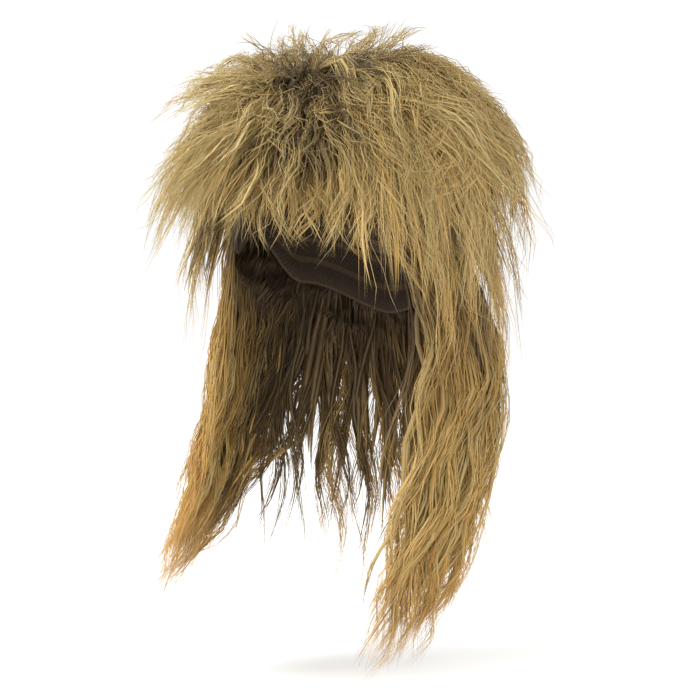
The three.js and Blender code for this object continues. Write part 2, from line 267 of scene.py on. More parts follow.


# The pieces of hair: each one's node, and its layers in the order that they are laid
# Fills, linings and layers whose light is below 1 are toned darker as painted shade
PIECES = {
    "crown_fall": ("crown", [
        # The long hair all round
        layer("fan", 160, 1, 8, 12, level=(-0.05, 0.5), depth=(-13, -1), reach=(0.66, 1.0), roots=(-14, 28),
              drift=34, comb=40, bow=24, wave=8, waves=2.4, frizz=4.5, flick=(-10, 4), fibre=0.34,
              shade=(0.12, 0.76), dark=DARK_TEASED, light=0.9, pale=0.6, steady=0.6),
        # Over the left temple, then over the right one
        layer("fan", 44, 1, 10, 12, level=(-0.25, 0.14), depth=(-6, 4), reach=(0.88, 1.02), roots=(2, 28),
              drift=12, comb=40, bow=14, wave=6, waves=1.6, frizz=4, span=(0.57, 0.69), shade=(0.2, 0.8),
              dark=DARK_TEMPLE, ragged=(0.88, 1.03)),
        layer("fan", 36, 1, 10, 12, level=(-0.3, 0.2), depth=(-6, 3), reach=(0.84, 1.0), roots=(2, 28),
              drift=12, comb=10, bow=14, wave=6, waves=1.6, frizz=4, span=(0.36, 0.46), shade=(0.1, 0.7),
              dark=DARK_TEMPLE),
    ]),
    "crown_shag": ("crown", [
        # Short teased wisps all over
        layer("fan", 322, 1, 10, 8, level=(-0.05, 1.0), start=(0.1, 0.64), reach=(0.28, 0.5), depth=(-1, 6),
              buried=8, roots=(-14, 28), drift=24, comb=40, bow=18, wave=4.5, waves=3.6, frizz=3.2,
              flick=(0, 14), wide=15, tight=4, fibre=0.3, core=1.3, shade=(0.12, 0.76), dark=DARK_TEASED,
              pale=0.6, steady=0.75),
        # Crimped ones that lie across each other on the left
        layer("fan", 112, 0, 11, 9, level=(-0.05, 0.9), start=(0.14, 0.66), reach=(0.26, 0.44), depth=(3, 9),
              buried=8, roots=(-14, 28), drift=42, comb=10, bow=32, wave=5, waves=4.2, frizz=4,
              flick=(-4, 10), wide=15, tight=4, fibre=0.3, shade=(0.2, 0.85), dark=(26, 52, 110), light=0.88,
              span=(0.59, 0.88), steady=0.7),
    ]),
    "crown_fuzz": ("crown", [
        # Dark wisps at the whorl
        layer("fan", 44, 0, 8, 7, level=(0, 0.6), start=(0.02, 0.12), reach=(0.16, 0.3), depth=(1, 5),
              buried=3, roots=(-14, 20), drift=30, bow=20, frizz=3, fibre=0.3, shade=(0.0, 0.6),
              dark=(30, 60, 150)),
        # Single loose hairs
        layer("fan", 250, 0, 3, 9, level=(0, 1.0), start=(0.05, 0.8), reach=(0.15, 0.36), depth=(2, 8),
              buried=4, roots=(-14, 30), drift=40, bow=24, wide=24, tight=22, frizz=5, fibre=0.2,
              shade=(0.0, 0.7), dark=(8, 16, 50), gather=0, steady=0.7),
        # The tuft that stands up behind the whorl, and thin spikes beside it
        layer("fan", 26, 0, 8, 8, level=(0.8, 1.3), start=(0.1, 0.3), reach=(0.2, 0.34), depth=(2, 8),
              buried=6, roots=(-14, 28), drift=24, bow=16, frizz=3, flick=(6, 24), wide=12, tight=3,
              fibre=0.3, span=(-0.1, 0.24), shade=(0.0, 0.6), dark=(12, 24, 40)),
        layer("fan", 4, 0, 5, 10, level=(0.9, 1.2), start=(0.18, 0.24), reach=(0.1, 0.16), depth=(2, 6),
              buried=4, drift=10, bow=8, flick=(22, 38), wide=5, tight=3, fibre=0.28, span=(0.88, 0.95),
              shade=(0.0, 0.4), dark=(20, 30, 40)),
        # Over the left side, then ash wisps to the left of the parting
        layer("fan", 14, 1, 9, 11, level=(0.7, 1.0), depth=(-2, 4), reach=(0.78, 0.9), roots=(2, 28),
              drift=8, bow=14, wave=6, frizz=3, span=(0.8, 0.86), flick=(0, 8), shade=(0.3, 0.9),
              dark=(12, 30, 60)),
        layer("fan", 10, 1, 9, 12, level=(0.2, 0.5), depth=(6, 9), reach=(0.6, 0.84), roots=(2, 20), drift=8,
              comb=60, frizz=3, wave=6, waves=3, shade=(0.05, 0.3), span=(0.58, 0.63), dark=(8, 10, 12)),
    ]),
    "crown_under": ("crown", [
        # Low wisps over the right
        layer("fan", 44, 1, 10, 12, level=(-0.2, 0.4), depth=(-6, 4), reach=(0.86, 1.02), roots=(2, 30),
              drift=14, comb=30, bow=8, frizz=3, flick=(-4, 8), core=1.4, span=(0.26, 0.45),
              shade=(0.0, 0.4), dark=(10, 22, 60), ragged=(0.88, 1.03)),
        # Fills: all round, at the front and left, at the left and back, and nearer the top
        fill("fan", 104, 12, level=(-0.1, 0.35), depth=(-16, -8), reach=(0.7, 0.96), roots=(2, 30), comb=40,
             light=0.72, dark=DARK_UNDER),
        fill("fan", 50, 12, level=(-0.1, 0.2), depth=(-14, -6), reach=(0.7, 1.0), roots=(2, 30), comb=10,
             light=0.64, span=(0.5, 0.72), dark=DARK_UNDER),
        fill("fan", 26, 12, level=(-0.1, 0.3), depth=(-14, -6), reach=(0.8, 1.0), roots=(2, 30),
             span=(0.72, 0.9), light=0.7, dark=DARK_UNDER),
        fill("fan", 40, 12, level=(0.2, 0.8), depth=(-16, -8), reach=(0.5, 0.84), roots=(2, 30), comb=40,
             dark=DARK_UNDER),
        # The low ring round the sides and back
        fill("low_ring", 60, 11, light=0.7),
        layer("low_ring", 24, 1, 8, 12, depth=(-8, 8), reach=(0.6, 1.0), roots=(-10, 10), drift=22, frizz=3,
              comb=14, flick=(-10, 10), shade=(0.05, 0.75)),
    ]),
    "fringe_fall": ("fringe", [
        fill("fringe", 36, 11, depth=(-4, 2), reach=(0.55, 0.86), roots=(-22, 4), light=0.72),
        layer("fringe", 92, 1, 10, 11, depth=(-2, 8), reach=(0.72, 1.0), roots=(-22, 4), drift=14, wide=10,
              comb=20, bow=12, wave=6, waves=1.8, frizz=3, fibre=0.32, shade=(0.2, 0.8), dark=(14, 22, 40)),
    ]),
    "side_fall_left": ("side_layer_left", [
        fill("side_layer_left", 40, 12, light=0.75),
        layer("side_layer_left", 76, 1, 10, 13, depth=(-14, -2), reach=(0.6, 1.04), roots=(-14, 14),
              drift=18, comb=30, bow=10, wave=7, waves=2.2, frizz=3, flick=(-8, 0), shade=(0.25, 0.9),
              waist=0.1),
    ]),
    "side_fall_right": ("side_layer_right", [
        fill("side_layer_right", 40, 12, reach=(0.74, 1.02), light=0.68),
        layer("side_layer_right", 46, 1, 10, 13, depth=(-8, 4), reach=(0.66, 1.1), roots=(-14, 14), drift=18,
              comb=10, bow=10, wave=6, waves=2.2, frizz=3, flick=(-16, 0), shade=(0.15, 0.8)),
    ]),
    "back_fall": ("back_layer", [
        fill("back_layer", 40, 12),
        layer("back_layer", 34, 1, 10, 13, depth=(-8, 8), reach=(0.6, 1.04), roots=(-14, 14), drift=22,
              bow=8, frizz=3, shade=(0.15, 0.9)),
    ]),
    "lengths_fall_left": ("lengths_left", [
        shade_lining("lengths_left", 22, 15, comb=-30, waist=0.24, roots=(-24, -6), span=(0.09, 1.0)),
        fill("lengths_left", 20, 15, depth=(-9, -4), reach=(0.8, 0.98), light=0.7, wave=6, waves=3.4,
             gather=0.8, comb=-30, waist=0.24, span=(0.12, 1.0), core=2.2),
        layer("lengths_left", 74, 1, 10, 17, depth=(-12, -1), reach=(0.9, 1.02), roots=(-10, 8), drift=4,
              wave=7.5, waves=4.0, bow=6, frizz=3, flick=(-2, 5), fibre=0.36, shade=(0.4, 1.0), gather=1.05,
              waist=0.22, comb=-30, ragged=(0.92, 1.02), span=(0.09, 1.05)),
    ]),
    "lengths_fall_right": ("lengths_right", [
        shade_lining("lengths_right", 30, 15, span=(0.4, 1.05), light=0.3, roots=(-24, -6)),
        fill("lengths_right", 18, 15, depth=(-9, -3), reach=(0.75, 0.94), span=(0, 0.5), light=0.86, wave=6,
             waves=3.6, gather=0.6),
        layer("lengths_right", 56, 1, 10, 17, depth=(-10, 0), reach=(0.88, 1.04), roots=(-10, 8), drift=10,
              wave=8, waves=3.8, bow=8, frizz=3, shade=(0.6, 1.0), gather=0.6, ragged=(0.86, 1.02)),
        # Its front edge, then wisps on its inside
        layer("lengths_right", 18, 1, 10, 15, span=(-0.2, 0.08), depth=(-6, 2), reach=(0.8, 1.0),
              roots=(-10, 8), drift=6, wave=7, waves=3.6, frizz=3, shade=(0.5, 1.0), gather=0.4),
        layer("lengths_right", 11, 0, 10, 15, span=(0.1, 0.6), depth=(-20, -13), reach=(0.86, 1.0),
              roots=(-20, -6), drift=8, wave=9, waves=3.8, frizz=3, shade=(0.2, 1.0), gather=0.7,
              light=0.86),
    ]),
    "lengths_fall_back": ("lengths_back", [
        fill("lengths_back", 38, 11, span=(-0.16, 1.16), depth=(-8, -2), reach=(0.54, 0.84), light=0.4,
             gather=0, roots=(-30, -12)),
        shade_lining("lengths_back", 20, 12, span=(0.92, 1.42), depth=(-8, -2), reach=(0.6, 0.92), light=0.34,
               gather=0, roots=(-30, -12)),
        shade_lining("lengths_back", 18, 15, span=(-0.12, 1.12), light=0.34, roots=(-30, -12)),
        layer("lengths_back", 34, 0, 10, 15, depth=(-8, 6), reach=(0.8, 1.02), roots=(-10, 8), drift=14,
              span=(-0.12, 1.12), wave=7, waves=2.4, bow=8, frizz=3, shade=(0.4, 1.0), gather=0.4),
    ]),
}
PIECE_SEED = 100

# Stray hairs over the top of the crown: how many, on which piece, their stops, where on the fan they start
# and how far on its direction is read, their step from stop to stop, how they curl and wobble, their girth,
# their tones with how those fade, and their shades
FLYAWAYS = 56
FLYAWAY_PIECE = "crown_fuzz"
FLYAWAY_STOPS = 13
FLYAWAY_ALONG = (0.12, 0.36)
FLYAWAY_PROBE = 0.02
FLYAWAY_ROOT = 10.0
FLYAWAY_LEVEL = 0.9
FLYAWAY_STEP = (2.2, 4.6)
FLYAWAY_CURL = (0.15, 0.75)
FLYAWAY_WOBBLE = 0.12
FLYAWAY_GIRTH = 0.38
FLYAWAY_TONES = (0.08, 0.36)
FLYAWAY_FADE = 0.02
FLYAWAY_SHADES = (0.02, 0.4)

# The teased cushion under the crown: its stops along the fan's course and how far below them it lies, its
# top, the polar angle of its brim at the back and front, how far that overhangs, and its foot on the head
CUSHION_SEED = 5
CUSHION_STOPS = (0.28, 0.35, 0.42, 0.49, 0.55, 0.61)
CUSHION_LEVEL = 0.25
CUSHION_BELOW = 20
CUSHION_TOP = -4
CUSHION_AHEAD = 24
CUSHION_BRIM = (54, 38)
CUSHION_OVERHANG = 18
CUSHION_FOOT = (1, 0.66, 0.33)
CUSHION_LUMPS = 1.2
CUSHION_TONES = (MAP_EDGE, 0.16)


# Shapes
def lerp(pair, share):
    """The value a share of the way along a pair."""
    return pair[0] + (pair[1] - pair[0]) * share


def unit(vectors):
    """The vectors at length 1."""
    return vectors / np.maximum(np.linalg.norm(vectors, axis=-1, keepdims=True), 1e-9)


def ease(value, start, end):
    """A smooth step from 0 at start to 1 at end."""
    x = np.clip((value - start) / (end - start), 0, 1)
    return x * x * (3 - 2 * x)


def stacked(x, y, z):
    """Three coordinates as points."""
    return np.stack(np.broadcast_arrays(x, y, z), axis=-1).astype(float)


def head_point(turn, polar, lift):
    """Points of the head's surface, raised by lift."""
    turn, polar = np.radians(turn), np.radians(polar)
    height = np.where(polar < math.pi / 2, CROWN_HEIGHT, NAPE_DROP)
    ring = np.sin(polar)
    x = HALF_WIDTH * ring * np.sin(turn)
    y = -HALF_DEPTH * ring * np.cos(turn)
    point = stacked(x, y, height * np.cos(polar))
    point += unit(point / stacked(HALF_WIDTH**2, HALF_DEPTH**2, height**2)) * lift
    point[..., 2] -= CROWN_HEIGHT
    return point


def course_point(part, place, share):
    """A stop of a section's course, moved where the hair falls forward and where it stands out aside."""
    turn, out, z = (lerp(place[key], share) for key in ("turn", "out", "z"))
    forward = np.maximum(0, np.cos(np.radians(turn - FORWARD_TURN)))
    aside = np.maximum(0, np.cos(np.radians(turn - ASIDE_TURN)))
    out = out * (1 - part["pull"] * forward) * (1 - place["tuck"] * aside)
    turn = np.radians(turn)
    return stacked(out * np.sin(turn), -out * np.cos(turn), z + place["lift"] * aside)


def fan_column(turn, name):
    """The distance out and the height that one of the fan's columns gives at turns."""
    turns = [row[FAN_COLUMNS["turn"]] for row in FAN]
    spots = [row[FAN_COLUMNS[name]] for row in FAN]
    return [np.interp(turn, turns, [spot[axis] for spot in spots], period=360) for axis in (0, 1)]


def fan_point(turn, column, level):
    """A stop of the fan at turns and levels: its bend, or its sweep or tip from the low hair to the top."""
    names = ("bend", "bend") if column == "bend" else ("low " + column, "top " + column)
    low, top = (fan_column(turn, name) for name in names)
    out, z = (lerp(pair, level) for pair in zip(low, top))
    turn = np.radians(turn)
    return stacked(out * np.sin(turn), -out * np.cos(turn), z)


def flow(part, share, along, roots=0.0, level=0.0):
    """Points along a section's course, or the fan's, at shares across it."""
    root = part["root"]
    turn = lerp(root["turn"], share)
    if part is SECTIONS["fan"]:
        radians = np.radians(turn)
        start = stacked(roots * np.sin(radians), -roots * np.cos(radians), 0.0) + WHORL
        bend, sweep, tip = (fan_point(turn, column, level) for column in ("bend", "sweep", "tip"))
    else:
        start = head_point(turn, lerp(root["out"], share) + roots, HAIR_LIFT)
        bend, sweep, tip = (course_point(part, part[key], share) for key in ("bend", "sweep", "tip"))
    t = along[..., None]
    return (1 - t) ** 3 * start + 3 * (1 - t) ** 2 * t * bend + 3 * (1 - t) * t**2 * sweep + t**3 * tip


def hand(part):
    """1 for a section that runs towards the wearer's left, and -1 for one that runs to the right."""
    first, last = part["root"]["turn"]
    return math.copysign(1, last - first)


def frame_on(part, share, along, roots=0.0, level=0.0):
    """Points of a course with the directions across it and out of it."""
    step = 0.004
    centre = flow(part, share, along, roots, level)
    tangent = unit(np.gradient(centre, axis=1))
    across = flow(part, share + step, along, roots, level) - flow(part, share - step, along, roots, level)
    across = unit(across - tangent * np.sum(across * tangent, axis=-1, keepdims=True))
    return centre, across, np.cross(tangent, across) * hand(part)


def breadth(part):
    """How broad a section is halfway down."""
    share = np.linspace(0, 1, BREADTH_STEPS)[:, None]
    line = flow(part, share, np.full_like(share, HALFWAY))[:, 0]
    return np.linalg.norm(np.diff(line, axis=0), axis=1).sum()


def facing(part, middle, turn):
    """How far the tips at shares across a section face a turn: 1 towards it and -1 away from it."""
    return np.cos(np.radians(lerp(part["tip"]["turn"], middle) - turn))


def within(points):
    """The points, eased back where they near the edge of the room that the wig may take up."""
    low, high = (np.array(corner) for corner in ROOM)
    over = np.maximum(points - (high - ROOM_EASE), 0)
    under = np.maximum((low + ROOM_EASE) - points, 0)
    kept = points - over + ROOM_EASE * np.tanh(over / ROOM_EASE)
    return kept + under - ROOM_EASE * np.tanh(under / ROOM_EASE)


# Meshes
def mesh_piece(name, points, corners, sizes, spots):
    """A smooth mesh object from its points, its faces' corners and sizes, and a map spot for each point."""
    made = bpy.data.meshes.new(name)
    made.vertices.add(len(points))
    made.vertices.foreach_set("co", (points * MM).astype(np.float32).ravel())
    made.loops.add(len(corners))
    made.loops.foreach_set("vertex_index", corners.astype(np.int32))
    made.polygons.add(len(sizes))
    made.polygons.foreach_set("loop_start", np.concatenate([[0], np.cumsum(sizes)[:-1]]).astype(np.int32))
    made.polygons.foreach_set("use_smooth", np.ones(len(sizes), bool))
    made.uv_layers.new(name=FIBRE_MAP)
    made.update(calc_edges=True)
    made.uv_layers[FIBRE_MAP].uv.foreach_set("vector", spots[corners].astype(np.float32).ravel())
    made.validate()
    piece = bpy.data.objects.new(name, made)
    bpy.context.scene.collection.objects.link(piece)
    return piece


def round_piece(name, grid, tones, flipped=False):
    """A skin round the head from a grid of points: stops down it for each turn, with tones along them.

    flipped turns its faces the other way.
    """
    columns, deep = grid.shape[0] - 1, grid.shape[1]
    first = np.arange(columns)[:, None] * deep + np.arange(deep - 1)
    ways = (0, deep, deep + 1, 1) if flipped else (0, 1, deep + 1, deep)
    walls = np.stack([first + way for way in ways], axis=-1)
    turns = lerp((MAP_EDGE, 1 - MAP_EDGE), np.arange(columns + 1) / columns)
    spots = np.stack(np.broadcast_arrays(turns[:, None], np.linspace(*tones, deep)), axis=-1)
    return mesh_piece(name, grid.reshape(-1, 3), walls.ravel(), np.full(first.size, 4), spots.reshape(-1, 2))


class Fibres:
    """Tapered closed fibres gathered into one mesh, with the map that carries their shades and tones."""

    def __init__(self):
        self.points, self.maps, self.corners, self.sizes = [], [], [], []
        self.count = 0

    def add(self, line, outward, wide, deep, shade, shades, tone, sides=STRAND_SIDES):
        """Adds one fibre along each line: wide and deep are its half sizes, drawn to a point at both ends.

        Its shade runs over a breadth of shades from side to side, and its tone along it.
        """
        many, stops = line.shape[:2]
        tangent = unit(np.gradient(line, axis=1))
        side = unit(np.cross(tangent, outward))
        out = np.cross(side, tangent)
        turn = 2 * math.pi * np.arange(sides) / sides
        rings = slice(1, stops - 1)
        spoke = (
            side[:, rings, None] * (np.cos(turn)[:, None] * wide[:, rings, None, None])
            + out[:, rings, None] * (np.sin(turn)[:, None] * deep[:, rings, None, None])
        )
        body = (line[:, rings, None] + spoke).reshape(many, -1, 3)
        points = np.concatenate([line[:, :1], body, line[:, -1:]], axis=1)
        lanes = shade[:, None, None] + shades * np.arange(sides) / (sides - 1)
        middle = (shade + shades / 2)[:, None]
        lanes = np.broadcast_to(lanes, (many, stops - 2, sides)).reshape(many, -1)
        tones = np.repeat(tone[:, rings], sides, axis=1)
        spots = np.stack([
            np.concatenate([middle, lanes, middle], axis=1),
            np.concatenate([tone[:, :1], tones, tone[:, -1:]], axis=1),
        ], axis=-1)
        here = np.arange(sides)
        beside = (here + 1) % sides
        last = 1 + (stops - 2) * sides
        row = 1 + sides * np.arange(stops - 3)[:, None]
        walls = np.stack([row + here, row + sides + here, row + sides + beside, row + beside], axis=-1)
        start = np.stack([np.zeros_like(here), 1 + here, 1 + beside], axis=-1)
        end = np.stack([np.full_like(here, last), last - sides + beside, last - sides + here], axis=-1)
        corners = np.concatenate([walls.ravel(), start.ravel(), end.ravel()])
        sizes = np.concatenate([np.full((stops - 3) * sides, 4), np.full(2 * sides, 3)])
        shift = self.count + (last + 1) * np.arange(many)
        self.points.append(points.reshape(-1, 3))
        self.maps.append(spots.reshape(-1, 2))
        self.corners.append((corners[None] + shift[:, None]).ravel())
        self.sizes.append(np.tile(sizes, many))
        self.count += (last + 1) * many

    def mesh(self, name):
        """All the fibres as one Blender object."""
        gathered = (self.points, self.corners, self.sizes, self.maps)
        return mesh_piece(name, *(np.concatenate(arrays) for arrays in gathered))


# Wisps
class Draws:
    """The random values of a layer's wisps, and of each of their tresses and strands."""

    def __init__(self, row, rng):
        self.rng = rng
        self.wisps = row["wisps"]
        self.each_has = row["tresses"] + row["strands"]
        self.many = self.wisps * self.each_has
        self.broad = (np.arange(self.many) % self.each_has)[:, None] < row["tresses"]

    def each(self, values):
        """One value for each wisp, repeated for its tresses and strands."""
        return np.repeat(values, self.each_has)[:, None]

    def place(self, span):
        """The wisps' places, spread evenly over a span."""
        order = self.rng.permutation(self.wisps)
        return self.each(lerp(span, (order + self.rng.random(self.wisps)) / self.wisps))

    def ranged(self, pair):
        """A random value between a pair for each wisp."""
        return self.each(lerp(pair, self.rng.random(self.wisps)))

    def stray(self):
        """A random stray to either side for each wisp, most often a small one."""
        return self.each(np.clip(self.rng.normal(0, 1, self.wisps), -STRAY_MOST, STRAY_MOST))

    def spread(self, pair):
        """A random value between a pair for each tress and strand."""
        return self.rng.uniform(*pair, (self.many, 1))

    def sway(self, t, pitch, size):
        """A smooth random sway along each tress and strand, a few waves laid over each other."""
        total = np.zeros((self.many, t.shape[-1]))
        for octave, share in SWAY_WAVES:
            phase = 2 * math.pi * self.rng.random((self.many, 1))
            total += share * np.sin(2 * math.pi * pitch * octave * t + phase)
        return total * size


def wisp_shares(part, row, draws, middle, t):
    """Where across its section each tress and strand runs."""
    gathered = ease(t, *GATHER_RUN)
    loose = np.where(draws.broad, draws.spread(TRESS_PLACE), draws.spread(STRAND_PLACE))
    offset = loose * (row["wide"] * (1 - gathered) + row["tight"] * gathered)
    steady = 1 - row["steady"] * np.maximum(0, facing(part, middle, ROOT_TURN)) ** 2
    crossed = draws.stray() * row["drift"] * steady * t
    parted = np.sin(np.radians(lerp(part["tip"]["turn"], middle) - FORWARD_TURN))
    combed = row["comb"] * parted * hand(part) * ease(t, *COMB_RUN)
    bowed = draws.stray() * row["bow"] * steady * 4 * t * (1 - t)
    lock = (np.floor(middle * part["locks"]) + 0.5) / part["locks"]
    share = middle + (offset + crossed + combed + bowed) / breadth(part)
    share = share + (lock - middle) * row["gather"] * t**LOCK_LATE
    return share + row["waist"] * (0.5 - middle) * np.sin(math.pi * t) ** WAIST_ROUND


def wisp_lines(part, row, draws, middle, t):
    """The line of each tress and strand, the directions out of its course, and where on that it starts."""
    share = wisp_shares(part, row, draws, middle, t)
    reach = draws.ranged(row["reach"])
    reach = reach * np.where(draws.broad, draws.spread(TRESS_REACH), draws.spread(row["ragged"]))
    start = draws.ranged(row["start"]) * draws.spread(START_SLIP)
    along = start + t * np.minimum(reach, LONGEST - start)
    roots = draws.ranged(row["roots"])
    level = draws.ranged(row["level"])
    centre, across, outward = frame_on(part, share, along, roots, level)
    lock = np.floor(middle * part["locks"]).astype(int) % LOCK_TIDES
    tide = 2 * math.pi * draws.rng.random((2, LOCK_TIDES))[:, lock]
    tide = tide + 2 * math.pi * TIDE_SLIP * np.stack([draws.ranged((-1, 1)) for _ in range(2)])
    swing = 2 * math.pi * row["waves"] * draws.ranged(WISP_WAVES) * along
    grown = ease(t, *GROW_RUN)
    closed = 1 - ease(t, *GATHER_RUN) * DEPTH_CLOSES
    depth = draws.ranged(row["depth"]) * grown - row["buried"] * (1 - grown)
    depth = depth + draws.spread(DEPTH_PLACE) * row["wide"] * grown * closed
    depth = depth + draws.ranged(row["flick"]) * t**3
    depth = depth + DEPTH_WAVE * row["wave"] * grown * np.sqrt(t) * np.sin(swing + tide[0])
    frizz = np.where(draws.broad, TRESS_FRIZZ, draws.spread(STRAND_FRIZZ)) * row["frizz"] * grown
    depth = depth + draws.sway(t, *DEPTH_SWAY) * frizz - np.where(draws.broad, TRESS_UNDER, 0) * grown
    slip = row["wave"] * np.sqrt(t) * np.sin(swing + tide[1]) + draws.sway(t, *SIDE_SWAY) * frizz
    return within(centre + outward * depth[..., None] + across * slip[..., None]), outward, start


def tone_of(run, dark):
    """The tone along a strand: up to the root's tone over its dark root, and from there to 1 at its tip."""
    rest = ROOT_TONE + (1 - ROOT_TONE) * (run - dark) / np.maximum(run[:, -1:] - dark, TONE_RUN)
    return np.clip(np.where(run < dark, ROOT_TONE * run / dark, rest), MAP_EDGE, 1 - MAP_EDGE)


def wisp_colours(part, row, draws, middle, run):
    """The shade of each tress and strand, and its tone along its run."""
    # Over the wearer's right, where the key lamp falls, strands turn nearer to ash and their dark roots
    # shorten: partly the hair's ash colour, partly painted light
    pale = row["pale"] * np.maximum(0, facing(part, middle, ASIDE_TURN))
    shade = lerp(row["shade"], draws.ranged((0, WISP_SHADE)) + draws.spread((0, 1 - WISP_SHADE))) - pale
    odd = (draws.spread((0, 1)) < ODD_SHARE) & ~draws.broad
    shade = lerp(SHADE_RANGE, np.where(odd, draws.spread((0, 1)), np.clip(shade, 0, 1)))
    back, side, front = row["dark"]
    ahead = facing(part, middle, ROOT_TURN)
    dark = np.interp(ahead, (-1, 0), (back, side)) + (front - side) * np.maximum(0, ahead) ** ROOT_NARROW
    # A row's light below 1 darkens its tones as painted shade
    tone = tone_of(run, dark * (1 - pale) * draws.spread(DARK_SLIP)) * row["light"] * draws.ranged(WISP_TONE)
    return shade, tone * np.where(draws.broad, TRESS_TONE, 1)


def lay_wisps(fibres, row, rng):
    """Lays one layer's wisps: tresses and strands that start apart and gather to pointed tips."""
    part = SECTIONS[row["course"]]
    draws = Draws(row, rng)
    t = np.linspace(0, 1, row["stops"])[None]
    middle = draws.place(row["span"])
    line, outward, start = wisp_lines(part, row, draws, middle, t)
    steps = np.linalg.norm(np.diff(line, axis=1, prepend=line[:, :1]), axis=-1)
    run = np.cumsum(steps, axis=1) + start * FAN_RUN
    shade, tone = wisp_colours(part, row, draws, middle, run)
    girth = draws.spread(GIRTH) * np.sqrt(1 - t**3)
    swell = row["core"] * (TRESS_ENDS + TRESS_SWELL * np.sin(math.pi * t) ** 2)
    kinds = (
        (draws.broad, swell, swell * TRESS_FLAT, TRESS_SHADES, TRESS_SIDES),
        (~draws.broad, row["fibre"], row["fibre"], STRAND_SHADES, STRAND_SIDES),
    )
    for kind, wide, deep, shades, sides in kinds:
        pick = np.flatnonzero(kind)
        if len(pick):
            sizes = (girth[pick] * wide, girth[pick] * deep)
            fibres.add(line[pick], outward[pick], *sizes, shade[pick, 0], shades, tone[pick], sides)


def lay_flyaways(fibres, count, rng):
    """Thin stray hairs that loop up from the top of the crown."""
    share = rng.random((count, 1))
    along = rng.uniform(*FLYAWAY_ALONG, (count, 1)) + np.linspace(0, FLYAWAY_PROBE, 3)[None]
    fan = SECTIONS["fan"]
    centre, across, outward = frame_on(fan, share + 0 * along, along, FLYAWAY_ROOT, FLYAWAY_LEVEL)
    ahead = unit(across[:, 0] * rng.normal(0, 1, (count, 1)) + outward[:, 0] * (0, 0, 1))
    bent = unit(rng.normal(0, 1, (count, 3)))
    step = rng.uniform(*FLYAWAY_STEP, (count, 1))
    curl = rng.uniform(*FLYAWAY_CURL, (count, 1))
    spots = [centre[:, 0]]
    for _ in range(FLYAWAY_STOPS - 1):
        spots.append(spots[-1] + ahead * step)
        ahead = unit(ahead + np.cross(bent, ahead) * curl + rng.normal(0, FLYAWAY_WOBBLE, (count, 3)))
    line = within(np.stack(spots, axis=1))
    girth = FLYAWAY_GIRTH * np.sqrt(np.linspace(1, 0, FLYAWAY_STOPS))[None] * np.ones((count, 1))
    tone = rng.uniform(*FLYAWAY_TONES, (count, 1)) + FLYAWAY_FADE * girth
    side = np.broadcast_to(bent[:, None], line.shape)
    fibres.add(line, side, girth, girth, rng.uniform(*FLYAWAY_SHADES, count), STRAND_SHADES, tone)


# The cushion and the cap
def lay_cushion(name, rng):
    """The teased cushion of the crown as one round skin."""
    part = SECTIONS["fan"]
    share = (np.arange(ROUND_COLUMNS + 1) / ROUND_COLUMNS)[:, None]
    turn = lerp(part["root"]["turn"], share)
    stops = np.broadcast_to(np.array(CUSHION_STOPS), (ROUND_COLUMNS + 1, len(CUSHION_STOPS)))
    lowered = flow(part, np.broadcast_to(share, stops.shape), stops, 0.0, CUSHION_LEVEL)
    lowered[..., 2] -= CUSHION_BELOW
    forward = np.maximum(0, np.cos(np.radians(turn - FORWARD_TURN)))
    polar = lerp(CUSHION_BRIM, forward)
    under = head_point(turn, polar, CUSHION_OVERHANG)
    foot = head_point(turn + np.zeros(len(CUSHION_FOOT)), polar * np.array(CUSHION_FOOT), HAIR_LIFT)
    crest = np.zeros((ROUND_COLUMNS + 1, 1, 3)) + (0, -CUSHION_AHEAD, CUSHION_TOP)
    inner = (lowered[:, :1] + crest) / 2
    sole = head_point(turn, np.zeros_like(turn), HAIR_LIFT)
    rows = np.concatenate([crest, inner, lowered, under, foot, sole], axis=1)
    lumps = rng.normal(0, CUSHION_LUMPS, (ROUND_COLUMNS, rows.shape[1] - 2))
    rows[:, 1:-1, 2] += np.concatenate([lumps, lumps[:1]], axis=0)
    return round_piece(name, rows, CUSHION_TONES)


def rim_polar(turn):
    """The polar angle of the cap's rim at a turn."""
    away = np.abs((turn + 180) % 360 - 180)
    where = np.clip(np.searchsorted(RIM_TURNS, away, side="left"), 1, len(RIM_TURNS) - 1)
    turns, depths = np.array(RIM_TURNS), np.array(RIM_DEPTHS)
    step = ease(away, turns[where - 1], turns[where])
    rise = CROWN_HEIGHT - lerp((depths[where - 1], depths[where]), step)
    return np.degrees(np.arccos(rise / np.where(rise > 0, CROWN_HEIGHT, NAPE_DROP)))


def lay_cap(name):
    """The cap: a thin shell on the head's shape, inside face first, down to the rim and up the outside."""
    turn = (360 * np.arange(ROUND_COLUMNS + 1) / ROUND_COLUMNS)[:, None]
    polar = np.linspace(0, 1, CAP_ROWS + 1) * rim_polar(turn)
    turn = np.broadcast_to(turn, polar.shape)
    inside = head_point(turn, polar, 0.0)
    outside = head_point(turn, polar, CAP_WALL)[:, ::-1]
    shell = np.concatenate([inside, outside], axis=1)
    return round_piece(name, shell, (MAP_EDGE, 1 - MAP_EDGE), flipped=True)


# Finishes
def dye(red, green, blue):
    """A screen colour, 0 to 255 each, as light."""
    shares = [value / 255 for value in (red, green, blue)]
    light = [share / 12.92 if share <= 0.04045 else ((share + 0.055) / 1.055) ** 2.4 for share in shares]
    return (*light, 1.0)


class Wire:
    """A value on its way through a finish's nodes. Sums and products of wires add Math nodes."""

    def __init__(self, finish, socket):
        self.finish, self.socket = finish, socket

    def math(self, operation, first, second):
        return self.finish.node("ShaderNodeMath", {"operation": operation}, {0: first, 1: second})

    def __add__(self, other):
        return self.math("ADD", self, other)

    def __sub__(self, other):
        return self.math("SUBTRACT", self, other)

    def __rsub__(self, other):
        return self.math("SUBTRACT", other, self)

    def __mul__(self, other):
        return self.math("MULTIPLY", self, other)

    __radd__ = __add__
    __rmul__ = __mul__


